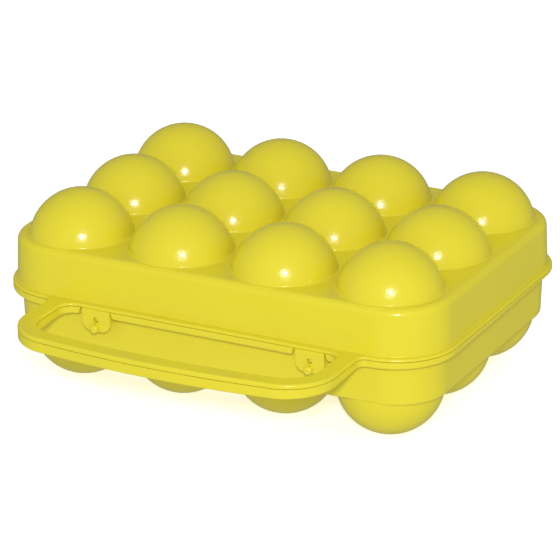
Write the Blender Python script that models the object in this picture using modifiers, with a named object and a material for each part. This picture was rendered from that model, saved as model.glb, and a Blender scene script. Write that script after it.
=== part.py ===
"""Egg holder for twelve eggs: a cup tray and a domed lid in moulded plastic.

The two shells meet at a flat rim, turn on two clip hinges at the back, and are held shut
by two flexing latch tongues at the front. Each shell carries one half of the carrying loop.

Lengths are in metres and +Z is up. The holder stands on its cup feet at z = 0 with the
carrying loop towards -Y, and the origin is the bottom centre of its bounding box.
"""

import math

import bmesh
import bpy
from mathutils import Matrix

# Egg layout
COLUMNS = 4
ROWS = 3
PITCH_X = 0.0500
PITCH_Y = 0.0466

# Shells
WALL = 0.0015
CUP_RADIUS = 0.0237
FOOT_RADIUS = 0.0040
DOME_RADIUS = 0.0234
CUP_DROP = 0.0198
DOME_LIFT = 0.0183
FLOOR_DROP = 0.0023
DECK_LIFT = 0.0040
WALL_DRAFT = 0.0006
DECK_ROUND = 0.0034
FLOOR_ROUND = 0.0016

# Rim of both shells
RIM_MARGIN_X = 0.0075
RIM_MARGIN_Y = 0.0046
RIM_CORNER = 0.0278
LID_RIM_HEIGHT = 0.0022
BASE_RIM_HEIGHT = 0.0040
RIM_ROUND = 0.0008
BASE_RIM_ROUND = 0.0012
LID_WALL_INSET = 0.0021
BASE_WALL_INSET = 0.0042
RIM_FLARE = 0.0012
LIP_HEIGHT = 0.0018
LIP_CLEARANCE = 0.0004
PARTING_GAP = 0.0003

# Carrying loop
HANDLE_REACH = 0.0475
HANDLE_BOW = 0.0032
HANDLE_WIDTH = 0.0082
HANDLE_CORNER = 0.0146
HANDLE_ROOT_ROUND = 0.0036
GRIP_ROOT_ROUND = 0.0065
GRIP_LEDGE = 0.0016

# Back hinges
HINGE_SPREAD = 0.0520
KNUCKLE_RADIUS = 0.0030
KNUCKLE_LENGTH = 0.0110
KNUCKLE_NECK = 0.0018
HINGE_ROD_RADIUS = 0.0016
RUN_CLEARANCE = 0.0003
EAR_RADIUS = 0.0029
EAR_THICKNESS = 0.0025
KNUCKLE_MOUTH = math.radians(80)

# Front latches
LATCH_SPREAD = 0.0517
LATCH_WIDTH = 0.0142
LATCH_DROP = 0.0102
LATCH_THICKNESS = 0.0020
LATCH_CORNER = 0.0042
LATCH_SIDE_GAP = 0.0018
STUD_RADIUS = 0.0011
STUD_DROP = 0.0048
STUD_BITE = 0.0011
STUD_CLEARANCE = 0.0005
KNOB_RADIUS = 0.0019
KNOB_REACH = 0.0026
KNOB_RISE = 0.0018

# One overrun serves every cut and every joined shape, and points closer than the weld are one
OVERRUN = 0.0010
WELD = 0.00001

# Facets
CUP_SEGMENTS = 18
CUP_RINGS = 5
CORNER_STEPS = 6
SMALL_STEPS = 4
ROUND_STEPS = 12
RIM_ROUND_STEPS = 2

# Places worked out from the sizes above
GRID_HALF_X = PITCH_X * (COLUMNS - 1) / 2
GRID_HALF_Y = PITCH_Y * (ROWS - 1) / 2
RIM_HALF_X = GRID_HALF_X + CUP_RADIUS + RIM_MARGIN_X
RIM_HALF_Y = GRID_HALF_Y + CUP_RADIUS + RIM_MARGIN_Y
HALF_GAP = PARTING_GAP / 2
HINGE_OFFSET = KNUCKLE_RADIUS + RUN_CLEARANCE
GRID_Y = (HANDLE_REACH - HINGE_OFFSET - KNUCKLE_RADIUS) / 2
FRONT_Y = GRID_Y - RIM_HALF_Y
BACK_Y = GRID_Y + RIM_HALF_Y
HINGE_Y = BACK_Y + HINGE_OFFSET
CUP_CENTRE_Z = math.sqrt(CUP_RADIUS ** 2 - FOOT_RADIUS ** 2)
PARTING_Z = CUP_CENTRE_Z + CUP_DROP
DOME_CENTRE_Z = PARTING_Z + DOME_LIFT
DECK_Z = DOME_CENTRE_Z + DECK_LIFT
FLOOR_Z = CUP_CENTRE_Z - FLOOR_DROP
HANDLE_HALF_X = RIM_HALF_X - RIM_CORNER - HANDLE_ROOT_ROUND
LIP_INSET = LID_WALL_INSET + WALL + LIP_CLEARANCE
LATCH_FRONT_Y = FRONT_Y - GRIP_LEDGE
LATCH_PIVOT_Y = LATCH_FRONT_Y + LATCH_THICKNESS / 2
LATCH_PIVOT_Z = PARTING_Z - HALF_GAP - LATCH_THICKNESS / 2
LATCH_TIP_Z = PARTING_Z - LATCH_DROP
STUD_Z = PARTING_Z - STUD_DROP

LEMON = (0.80, 0.70, 0.035, 1.0)


def clear_scene():
    """Removes every object of the scene."""
    for item in list(bpy.data.objects):
        bpy.data.objects.remove(item, do_unlink=True)


def new_collection(name):
    """Makes a collection under the scene's own."""
    group = bpy.data.collections.new(name)
    bpy.context.scene.collection.children.link(group)
    return group


def plastic(name, roughness):
    """Makes the glossy lemon plastic of one piece."""
    material = bpy.data.materials.new(name)
    material.use_nodes = True
    shader = material.node_tree.nodes["Principled BSDF"]
    shader.inputs["Base Color"].default_value = LEMON
    shader.inputs["Roughness"].default_value = roughness
    shader.inputs["Metallic"].default_value = 0.0
    return material


def arc(centre, radius, start, end, steps):
    """Gives the points of an arc in the plane, from one angle in degrees to another."""
    points = []
    for step in range(steps + 1):
        angle = math.radians(start + (end - start) * step / steps)
        points.append((centre[0] + radius * math.cos(angle), centre[1] + radius * math.sin(angle)))
    return points


def evaluated_mesh(item):
    """Gives an object's mesh with its modifiers or its curve applied."""
    bpy.context.view_layer.update()
    graph = bpy.context.evaluated_depsgraph_get()
    return bpy.data.meshes.new_from_object(item.evaluated_get(graph))


def object_from(name, mesh, group):
    """Puts a mesh in a collection as a new object."""
    item = bpy.data.objects.new(name, mesh)
    group.objects.link(item)
    return item


def hide_cutter(item):
    """Marks an object as a shape that only cuts or joins."""
    item.hide_render = True
    item.display_type = "WIRE"
    return item


def combine(target, tool, operation):
    """Adds one Boolean step to an object."""
    step = target.modifiers.new(tool.name, "BOOLEAN")
    step.operation = operation
    step.solver = "EXACT"
    step.object = tool


def extruded_mesh(name, outlines, thickness, placing):
    """Extrudes closed outlines, holes included, about their own plane and places the result."""
    curve = bpy.data.curves.new(name, "CURVE")
    curve.dimensions = "2D"
    curve.fill_mode = "BOTH"
    curve.extrude = thickness / 2
    for outline in outlines:
        spline = curve.splines.new("POLY")
        spline.points.add(len(outline) - 1)
        for point, place in zip(spline.points, outline):
            point.co = (place[0], place[1], 0.0, 1.0)
        spline.use_cyclic_u = True
    carrier = bpy.data.objects.new(name, curve)
    bpy.context.scene.collection.objects.link(carrier)
    mesh = evaluated_mesh(carrier)
    bpy.data.objects.remove(carrier, do_unlink=True)
    shape = bmesh.new()
    shape.from_mesh(mesh)
    bmesh.ops.remove_doubles(shape, verts=shape.verts, dist=WELD)
    bmesh.ops.dissolve_limit(shape, angle_limit=math.radians(1), verts=shape.verts, edges=shape.edges)
    bmesh.ops.recalc_face_normals(shape, faces=shape.faces)
    shape.transform(placing)
    shape.to_mesh(mesh)
    shape.free()
    return mesh


def round_edges_at(mesh, height, width):
    """Rounds the outline edges of a flat plate on its face at the given height."""
    shape = bmesh.new()
    shape.from_mesh(mesh)
    edges = []
    for edge in shape.edges:
        level = all(abs(vertex.co.z - height) < WELD for vertex in edge.verts)
        if level and any(abs(face.normal.z) < 0.5 for face in edge.link_faces):
            edges.append(edge)
    steps = RIM_ROUND_STEPS
    bmesh.ops.bevel(shape, geom=edges, offset=width, segments=steps, profile=0.5, affect="EDGES")
    bmesh.ops.triangulate(shape, faces=shape.faces)
    shape.to_mesh(mesh)
    shape.free()
    return mesh


def rim_ring(inset, height):
    """Gives the rounded rectangle that lies the given inset inside the rim, seen from above."""
    corner = RIM_CORNER - inset
    reach_x = RIM_HALF_X - RIM_CORNER
    reach_y = RIM_HALF_Y - RIM_CORNER
    right = ((reach_x, -reach_y, 270), (reach_x, reach_y, 0))
    left = ((-reach_x, reach_y, 90), (-reach_x, -reach_y, 180))
    ring = []
    for x, y, start in right + left:
        for u, v in arc((x, GRID_Y + y), corner, start, start + 90, CORNER_STEPS):
            ring.append((u, v, height))
    return ring


def loft_mesh(name, sections):
    """Joins rounded rectangles, each an inset and a height from the top down, into a closed solid."""
    shape = bmesh.new()
    rings = [[shape.verts.new(place) for place in rim_ring(inset, height)] for inset, height in sections]
    for upper, lower in zip(rings, rings[1:]):
        for index in range(len(upper)):
            after = (index + 1) % len(upper)
            shape.faces.new((upper[index], lower[index], lower[after], upper[after]))
    shape.faces.new(rings[0])
    shape.faces.new(rings[-1][::-1])
    bmesh.ops.recalc_face_normals(shape, faces=shape.faces)
    mesh = bpy.data.meshes.new(name)
    shape.to_mesh(mesh)
    shape.free()
    return mesh


def turned_mesh(name, profile, segments):
    """Turns a profile of radius and height, running from its top down its outer side, about Z."""
    mesh = bpy.data.meshes.new(name)
    places = [(radius, 0.0, height) for radius, height in profile]
    mesh.from_pydata(places, [(index, index + 1) for index in range(len(places) - 1)], [])
    carrier = bpy.data.objects.new(name, mesh)
    bpy.context.scene.collection.objects.link(carrier)
    screw = carrier.modifiers.new("turn", "SCREW")
    screw.axis = "Z"
    screw.steps = segments
    screw.render_steps = segments
    screw.use_merge_vertices = True
    screw.merge_threshold = WELD
    turned = evaluated_mesh(carrier)
    bpy.data.objects.remove(carrier, do_unlink=True)
    return turned


def ball_profile(radius, cut, flat_radius):
    """Gives the outer profile of a ball's cap above a cut, with a small flat on its top."""
    low = math.degrees(math.asin(cut / radius))
    high = math.degrees(math.acos(flat_radius / radius))
    points = arc((0.0, 0.0), radius, high, low, CUP_RINGS)
    top = [(0.0, points[0][1])]
    return top + [place for place in points if place[0] > WELD] + [(0.0, points[-1][1])]


def egg_places(odd):
    """Gives the places of every other egg in a chequered order, so that neighbours never share a set."""
    places = []
    for row in range(ROWS):
        for column in range(COLUMNS):
            if (row + column) % 2 == odd:
                places.append((column * PITCH_X - GRID_HALF_X, GRID_Y + row * PITCH_Y - GRID_HALF_Y))
    return places


def balls(name, radius, cut, flat_radius, centre_z, upward, odd, group):
    """Makes one chequered set of ball caps, for domes when upward and for cups when not."""
    cap = turned_mesh(name, ball_profile(radius, cut, flat_radius), CUP_SEGMENTS)
    shape = bmesh.new()
    for x, y in egg_places(odd):
        first = len(shape.verts)
        shape.from_mesh(cap)
        shape.verts.ensure_lookup_table()
        placing = Matrix.Translation((x, y, centre_z))
        if not upward:
            placing = placing @ Matrix.Rotation(math.pi, 4, "X")
        bmesh.ops.transform(shape, matrix=placing, verts=shape.verts[first:])
    mesh = bpy.data.meshes.new(name)
    shape.to_mesh(mesh)
    shape.free()
    return hide_cutter(object_from(name, mesh, group))


def handle_run(inset):
    """Gives the carrying loop's line from the left arm round to the right, inset from its outer side."""
    half = HANDLE_HALF_X - inset
    corner = max(HANDLE_CORNER - inset, HANDLE_ROOT_ROUND)
    front = FRONT_Y - HANDLE_REACH + HANDLE_BOW + inset
    reach = half - corner
    points = arc((-reach, front + corner), corner, 180, 270, CORNER_STEPS)
    for step in range(1, 2 * SMALL_STEPS):
        share = step / SMALL_STEPS - 1
        points.append((share * reach, front - HANDLE_BOW * (1 - share ** 2)))
    return points + arc((reach, front + corner), corner, 270, 360, CORNER_STEPS)


def rim_outline():
    """Gives the outer line of a rim with its half of the carrying loop."""
    reach_x = RIM_HALF_X - RIM_CORNER
    high = BACK_Y - RIM_CORNER
    low = FRONT_Y + RIM_CORNER
    root_x = HANDLE_HALF_X + HANDLE_ROOT_ROUND
    root_y = FRONT_Y - HANDLE_ROOT_ROUND
    points = arc((reach_x, low), RIM_CORNER, -90, 0, CORNER_STEPS)
    points += arc((reach_x, high), RIM_CORNER, 0, 90, CORNER_STEPS)
    points += arc((-reach_x, high), RIM_CORNER, 90, 180, CORNER_STEPS)
    points += arc((-reach_x, low), RIM_CORNER, 180, 270, CORNER_STEPS)
    points += arc((-root_x, root_y), HANDLE_ROOT_ROUND, 90, 0, SMALL_STEPS)[1:]
    points += handle_run(0.0)
    points += arc((root_x, root_y), HANDLE_ROOT_ROUND, 180, 90, SMALL_STEPS)[:-1]
    return points


def grip_outline():
    """Gives the line of the finger gap between the rim and the loop."""
    half = HANDLE_HALF_X - HANDLE_WIDTH
    root_y = FRONT_Y - GRIP_LEDGE - GRIP_ROOT_ROUND
    points = arc((half - GRIP_ROOT_ROUND, root_y), GRIP_ROOT_ROUND, 0, 90, SMALL_STEPS)
    points += arc((GRIP_ROOT_ROUND - half, root_y), GRIP_ROOT_ROUND, 90, 180, SMALL_STEPS)
    return points + handle_run(HANDLE_WIDTH)


def rim_plate(name, low, high, rounded, width, group):
    """Makes a flat rim with its half of the loop, rounded along the edges of one face."""
    placing = Matrix.Translation((0.0, 0.0, (low + high) / 2))
    mesh = extruded_mesh(name, [rim_outline(), grip_outline()], high - low, placing)
    round_edges_at(mesh, rounded, width)
    return hide_cutter(object_from(name, mesh, group))


def round_sections(inset, height, radius, upward):
    """Gives the sections of a rounded edge, where a wall at an inset turns into a flat at a height."""
    side = 1 if upward else -1
    sections = []
    for step in range(SMALL_STEPS):
        angle = math.pi / 2 * step / (SMALL_STEPS - 1)
        drop = radius * (1 - math.sin(angle))
        sections.append((inset + radius * (1 - math.cos(angle)), height - side * drop))
    return sections


def along_x(x, y, z):
    """Places an outline drawn in Y and Z so that it is extruded along X."""
    return Matrix(((0.0, 0.0, 1.0, x), (1.0, 0.0, 0.0, y), (0.0, 1.0, 0.0, z), (0.0, 0.0, 0.0, 1.0)))


def cylinder_mesh(name, radius, length, placing):
    """Makes a capped cylinder along its own Z and places it."""
    shape = bmesh.new()
    segments = ROUND_STEPS
    bmesh.ops.create_cone(
        shape, cap_ends=True, segments=segments, radius1=radius, radius2=radius, depth=length
    )
    shape.transform(placing)
    mesh = bpy.data.meshes.new(name)
    shape.to_mesh(mesh)
    shape.free()
    return mesh


def box_mesh(name, low, high):
    """Makes a box between two corners."""
    shape = bmesh.new()
    bmesh.ops.create_cube(shape, size=1.0)
    size = [b - a for a, b in zip(low, high)]
    middle = [(a + b) / 2 for a, b in zip(low, high)]
    shape.transform(Matrix.Translation(middle) @ Matrix.Diagonal((*size, 1.0)))
    mesh = bpy.data.meshes.new(name)
    shape.to_mesh(mesh)
    shape.free()
    return mesh


def joined(name, meshes, group):
    """Puts several separate meshes in one cutter object."""
    shape = bmesh.new()
    for mesh in meshes:
        shape.from_mesh(mesh)
    mesh = bpy.data.meshes.new(name)
    shape.to_mesh(mesh)
    shape.free()
    return hide_cutter(object_from(name, mesh, group))


def knuckle_outline():
    """Gives the lid's clip knuckle and its neck, drawn in Y and Z about the hinge axis."""
    bore = HINGE_ROD_RADIUS + RUN_CLEARANCE
    mouth = math.degrees(KNUCKLE_MOUTH) / 2
    root = -HINGE_OFFSET - OVERRUN
    neck_top = 180 - math.degrees(math.asin(KNUCKLE_NECK / KNUCKLE_RADIUS))
    neck_low = 180 - math.degrees(math.asin(PARTING_GAP / KNUCKLE_RADIUS))
    points = arc((0.0, 0.0), KNUCKLE_RADIUS, mouth - 90, neck_top, ROUND_STEPS)
    points += [(root, KNUCKLE_NECK), (root, PARTING_GAP)]
    points += arc((0.0, 0.0), KNUCKLE_RADIUS, neck_low, 270 - mouth, SMALL_STEPS)
    return points + arc((0.0, 0.0), bore, 270 - mouth, mouth - 90, ROUND_STEPS)


def ear_outline():
    """Gives a base hinge ear, drawn in Y and Z about the hinge axis."""
    root = -HINGE_OFFSET - OVERRUN
    start = 180 + math.degrees(math.asin(PARTING_GAP / EAR_RADIUS))
    points = [(root, -EAR_RADIUS), (root, -PARTING_GAP)]
    return points + arc((0.0, 0.0), EAR_RADIUS, start, -90, ROUND_STEPS)


def lid_knuckles(group):
    """Makes both clip knuckles of the lid."""
    meshes = []
    for side in (-1, 1):
        placing = along_x(side * HINGE_SPREAD, HINGE_Y, PARTING_Z)
        meshes.append(extruded_mesh("knuckle", [knuckle_outline()], KNUCKLE_LENGTH, placing))
    return joined("lid_knuckles", meshes, group)


def base_ears(group):
    """Makes the four hinge ears of the base."""
    meshes = []
    reach = KNUCKLE_LENGTH / 2 + RUN_CLEARANCE + EAR_THICKNESS / 2
    for side in (-1, 1):
        for end in (-1, 1):
            placing = along_x(side * HINGE_SPREAD + end * reach, HINGE_Y, PARTING_Z)
            meshes.append(extruded_mesh("ear", [ear_outline()], EAR_THICKNESS, placing))
    return joined("base_ears", meshes, group)


def base_rods(group):
    """Makes the two moulded rods that the lid's knuckles clip onto."""
    length = KNUCKLE_LENGTH + 2 * RUN_CLEARANCE + EAR_THICKNESS
    meshes = []
    for side in (-1, 1):
        placing = along_x(side * HINGE_SPREAD, HINGE_Y, PARTING_Z)
        meshes.append(cylinder_mesh("rod", HINGE_ROD_RADIUS, length, placing))
    return joined("base_rods", meshes, group)


def base_studs(group):
    """Makes the two studs under the rim that the latch tongues snap over."""
    tip = LATCH_FRONT_Y + LATCH_THICKNESS - STUD_BITE
    root = FRONT_Y + BASE_WALL_INSET + OVERRUN
    meshes = []
    for side in (-1, 1):
        placing = Matrix.Translation((side * LATCH_SPREAD, (tip + root) / 2, STUD_Z))
        placing = placing @ Matrix.Rotation(math.pi / 2, 4, "X")
        meshes.append(cylinder_mesh("stud", STUD_RADIUS, root - tip, placing))
    return joined("base_studs", meshes, group)


def latch_notches(group):
    """Makes the two gaps in the base rim that the latch tongues pass through."""
    half = LATCH_WIDTH / 2 + LATCH_SIDE_GAP
    meshes = []
    for side in (-1, 1):
        low = (side * LATCH_SPREAD - half, LATCH_FRONT_Y - OVERRUN, PARTING_Z - BASE_RIM_HEIGHT - OVERRUN)
        high = (side * LATCH_SPREAD + half, LATCH_FRONT_Y + LATCH_THICKNESS + PARTING_GAP, PARTING_Z)
        meshes.append(box_mesh("notch", low, high))
    return joined("latch_notches", meshes, group)


def handle_channel(group):
    """Makes the groove that keeps the base's half of the loop to an even wall."""
    outer = handle_run(WALL)
    inner = handle_run(HANDLE_WIDTH - WALL)
    end = FRONT_Y - HANDLE_ROOT_ROUND
    outline = [(outer[0][0], end)] + outer + [(outer[-1][0], end), (inner[-1][0], end)]
    outline += inner[::-1] + [(inner[0][0], end)]
    low = PARTING_Z - BASE_RIM_HEIGHT + WALL
    placing = Matrix.Translation((0.0, 0.0, (low + PARTING_Z) / 2))
    mesh = extruded_mesh("handle_channel", [outline], PARTING_Z - low, placing)
    return hide_cutter(object_from("handle_channel", mesh, group))


def make_lid(parts, cutters):
    """Models the lid: domes, deck, wall, rim, upper loop half and clip knuckles."""
    rim_top = PARTING_Z + LID_RIM_HEIGHT
    top_inset = LID_WALL_INSET + WALL_DRAFT
    sections = round_sections(top_inset, DECK_Z, DECK_ROUND, True)[::-1]
    for step in range(SMALL_STEPS):
        angle = math.pi / 2 * step / (SMALL_STEPS - 1)
        inset = LID_WALL_INSET - RIM_FLARE * (1 - math.cos(angle))
        sections.append((inset, rim_top + RIM_FLARE * (1 - math.sin(angle))))
    sections.append((LID_WALL_INSET - RIM_FLARE, rim_top - LID_RIM_HEIGHT / 2))
    lid = object_from("lid", loft_mesh("lid", sections), parts)

    low_cut = DECK_LIFT - WALL
    inner_round = DECK_ROUND - WALL
    inner = round_sections(top_inset + WALL, DECK_Z - WALL, inner_round, True)[::-1]
    inner.append((LID_WALL_INSET + WALL, PARTING_Z - OVERRUN))
    inside = hide_cutter(object_from("lid_inside", loft_mesh("lid_inside", inner), cutters))
    plate = rim_plate("lid_rim", PARTING_Z + HALF_GAP, rim_top, rim_top, RIM_ROUND, cutters)

    for odd in (0, 1):
        name = f"domes_{odd}"
        combine(lid, balls(name, DOME_RADIUS, low_cut, 0.0, DOME_CENTRE_Z, True, odd, cutters), "UNION")
    combine(lid, plate, "UNION")
    combine(lid, lid_knuckles(cutters), "UNION")
    combine(lid, inside, "DIFFERENCE")
    for odd in (0, 1):
        name = f"dome_insides_{odd}"
        shape = balls(name, DOME_RADIUS - WALL, low_cut - OVERRUN, 0.0, DOME_CENTRE_Z, True, odd, cutters)
        combine(lid, shape, "DIFFERENCE")
    return lid


def make_base(parts, cutters):
    """Models the base: cups, floor, wall, rim, lip, lower loop half, hinge ears and studs."""
    rim_low = PARTING_Z - BASE_RIM_HEIGHT
    low_inset = BASE_WALL_INSET + WALL_DRAFT
    sections = [(LIP_INSET, PARTING_Z + LIP_HEIGHT), (BASE_WALL_INSET, rim_low)]
    sections += round_sections(low_inset, FLOOR_Z, FLOOR_ROUND, False)
    base = object_from("base", loft_mesh("base", sections), parts)

    inner = [(BASE_WALL_INSET + WALL, PARTING_Z + LIP_HEIGHT + OVERRUN)]
    inner += round_sections(low_inset + WALL, FLOOR_Z + WALL, FLOOR_ROUND, False)
    inside = hide_cutter(object_from("base_inside", loft_mesh("base_inside", inner), cutters))
    plate = rim_plate("base_rim", rim_low, PARTING_Z - HALF_GAP, rim_low, BASE_RIM_ROUND, cutters)

    cut = FLOOR_DROP - WALL
    for odd in (0, 1):
        name = f"cups_{odd}"
        shape = balls(name, CUP_RADIUS, cut, FOOT_RADIUS, CUP_CENTRE_Z, False, odd, cutters)
        combine(base, shape, "UNION")
    combine(base, plate, "UNION")
    combine(base, base_ears(cutters), "UNION")
    combine(base, base_rods(cutters), "UNION")
    combine(base, latch_notches(cutters), "DIFFERENCE")
    combine(base, base_studs(cutters), "UNION")
    combine(base, inside, "DIFFERENCE")
    inner_radius = CUP_RADIUS - WALL
    inner_foot = math.sqrt(inner_radius ** 2 - (CUP_CENTRE_Z - WALL) ** 2)
    for odd in (0, 1):
        name = f"cup_insides_{odd}"
        shape = balls(name, inner_radius, cut - OVERRUN, inner_foot, CUP_CENTRE_Z, False, odd, cutters)
        combine(base, shape, "DIFFERENCE")
    combine(base, handle_channel(cutters), "DIFFERENCE")
    return base


def latch_outline():
    """Gives the face of a latch tongue in X and Z about its pivot."""
    half = LATCH_WIDTH / 2
    low = LATCH_TIP_Z - LATCH_PIVOT_Z
    points = [(half, 0.0), (-half, 0.0)]
    points += arc((LATCH_CORNER - half, low + LATCH_CORNER), LATCH_CORNER, 180, 270, CORNER_STEPS)
    return points + arc((half - LATCH_CORNER, low + LATCH_CORNER), LATCH_CORNER, 270, 360, CORNER_STEPS)


def make_latch(name, side, parts, cutters):
    """Models one latch tongue: a flexing plate with a stud hole and a finger knob."""
    upright = Matrix.Rotation(math.pi / 2, 4, "X")
    place = Matrix.Translation((side * LATCH_SPREAD, LATCH_PIVOT_Y, LATCH_PIVOT_Z))
    latch = object_from(name, extruded_mesh(name, [latch_outline()], LATCH_THICKNESS, upright), parts)
    latch.matrix_world = place

    top = cylinder_mesh(f"{name}_top", LATCH_THICKNESS / 2, LATCH_WIDTH, place @ along_x(0.0, 0.0, 0.0))
    combine(latch, hide_cutter(object_from(f"{name}_top", top, cutters)), "UNION")

    hole_place = Matrix.Translation((side * LATCH_SPREAD, LATCH_PIVOT_Y, STUD_Z)) @ upright
    hole_radius = STUD_RADIUS + STUD_CLEARANCE
    hole = cylinder_mesh(f"{name}_hole", hole_radius, LATCH_THICKNESS + OVERRUN, hole_place)
    combine(latch, hide_cutter(object_from(f"{name}_hole", hole, cutters)), "DIFFERENCE")

    reach = KNOB_REACH + LATCH_THICKNESS / 2
    crown = KNOB_RADIUS / 2
    profile = [(0.0, reach)]
    for step in range(1, SMALL_STEPS + 1):
        angle = math.pi / 2 * step / SMALL_STEPS
        profile.append((KNOB_RADIUS * math.sin(angle), reach - crown * (1 - math.cos(angle))))
    profile += [(KNOB_RADIUS, 0.0), (0.0, 0.0)]
    knob = turned_mesh(f"{name}_knob", profile, ROUND_STEPS)
    knob_z = LATCH_TIP_Z + KNOB_RISE
    knob.transform(Matrix.Translation((side * LATCH_SPREAD, LATCH_PIVOT_Y, knob_z)) @ upright)
    combine(latch, hide_cutter(object_from(f"{name}_knob", knob, cutters)), "UNION")
    return latch


def main():
    """Builds every piece of the egg holder."""
    clear_scene()
    parts = new_collection("egg_holder")
    cutters = new_collection("egg_holder_cutters")
    pieces = (
        (make_base(parts, cutters), "base_plastic", 0.28),
        (make_lid(parts, cutters), "lid_plastic", 0.25),
        (make_latch("latch_left", -1, parts, cutters), "latch_left_plastic", 0.30),
        (make_latch("latch_right", 1, parts, cutters), "latch_right_plastic", 0.30),
    )
    for item, material_name, roughness in pieces:
        item.data.materials.clear()
        item.data.materials.append(plastic(material_name, roughness))
        item.data.shade_smooth()
        item.data.set_sharp_from_angle(angle=math.radians(35))


main()
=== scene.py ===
"""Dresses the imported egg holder: smooth moulded shells, latch tongues, plastic, light and camera.

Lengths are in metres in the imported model's frame, where +Z is up and the carrying loop points to -Y.
"""

import logging
import math
from collections.abc import Callable, Iterator
from contextlib import contextmanager
from dataclasses import dataclass
from enum import Enum
from typing import Any

import bmesh
import bpy
from mathutils import Matrix, Vector


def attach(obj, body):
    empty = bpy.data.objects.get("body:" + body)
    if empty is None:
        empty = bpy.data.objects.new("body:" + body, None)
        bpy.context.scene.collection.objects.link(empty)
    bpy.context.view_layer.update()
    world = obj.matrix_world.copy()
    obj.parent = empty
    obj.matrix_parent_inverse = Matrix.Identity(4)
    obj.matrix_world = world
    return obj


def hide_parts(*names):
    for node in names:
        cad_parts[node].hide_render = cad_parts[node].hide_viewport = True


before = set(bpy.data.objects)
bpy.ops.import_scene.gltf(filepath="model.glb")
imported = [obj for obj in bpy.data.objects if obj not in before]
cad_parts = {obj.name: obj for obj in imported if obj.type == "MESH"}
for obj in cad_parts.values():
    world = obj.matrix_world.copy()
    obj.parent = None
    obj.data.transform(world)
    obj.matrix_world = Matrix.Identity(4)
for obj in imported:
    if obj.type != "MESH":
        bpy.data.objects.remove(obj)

log = logging.getLogger("egg_holder")

Point = tuple[float, float]
Place = tuple[float, float, float]
PickTest = Callable[[Any], bool]
Inputs = dict[str | int, Any]

ORIGIN = (0.0, 0.0, 0.0)
UP = (0.0, 0.0, 1.0)
BACK = (0.0, 1.0, 0.0)
WHITE = (1.0, 1.0, 1.0, 1.0)


class Join(Enum):
    """How one solid acts on another."""

    ADD = "UNION"
    CUT = "DIFFERENCE"


class Side(Enum):
    """The two sides of the holder, as the sign of X."""

    LEFT = -1
    RIGHT = 1


class Kind(Enum):
    """The parts of a mesh that can be picked, and their select mode."""

    VERTS = "VERT"
    EDGES = "EDGE"
    FACES = "FACE"


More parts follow.
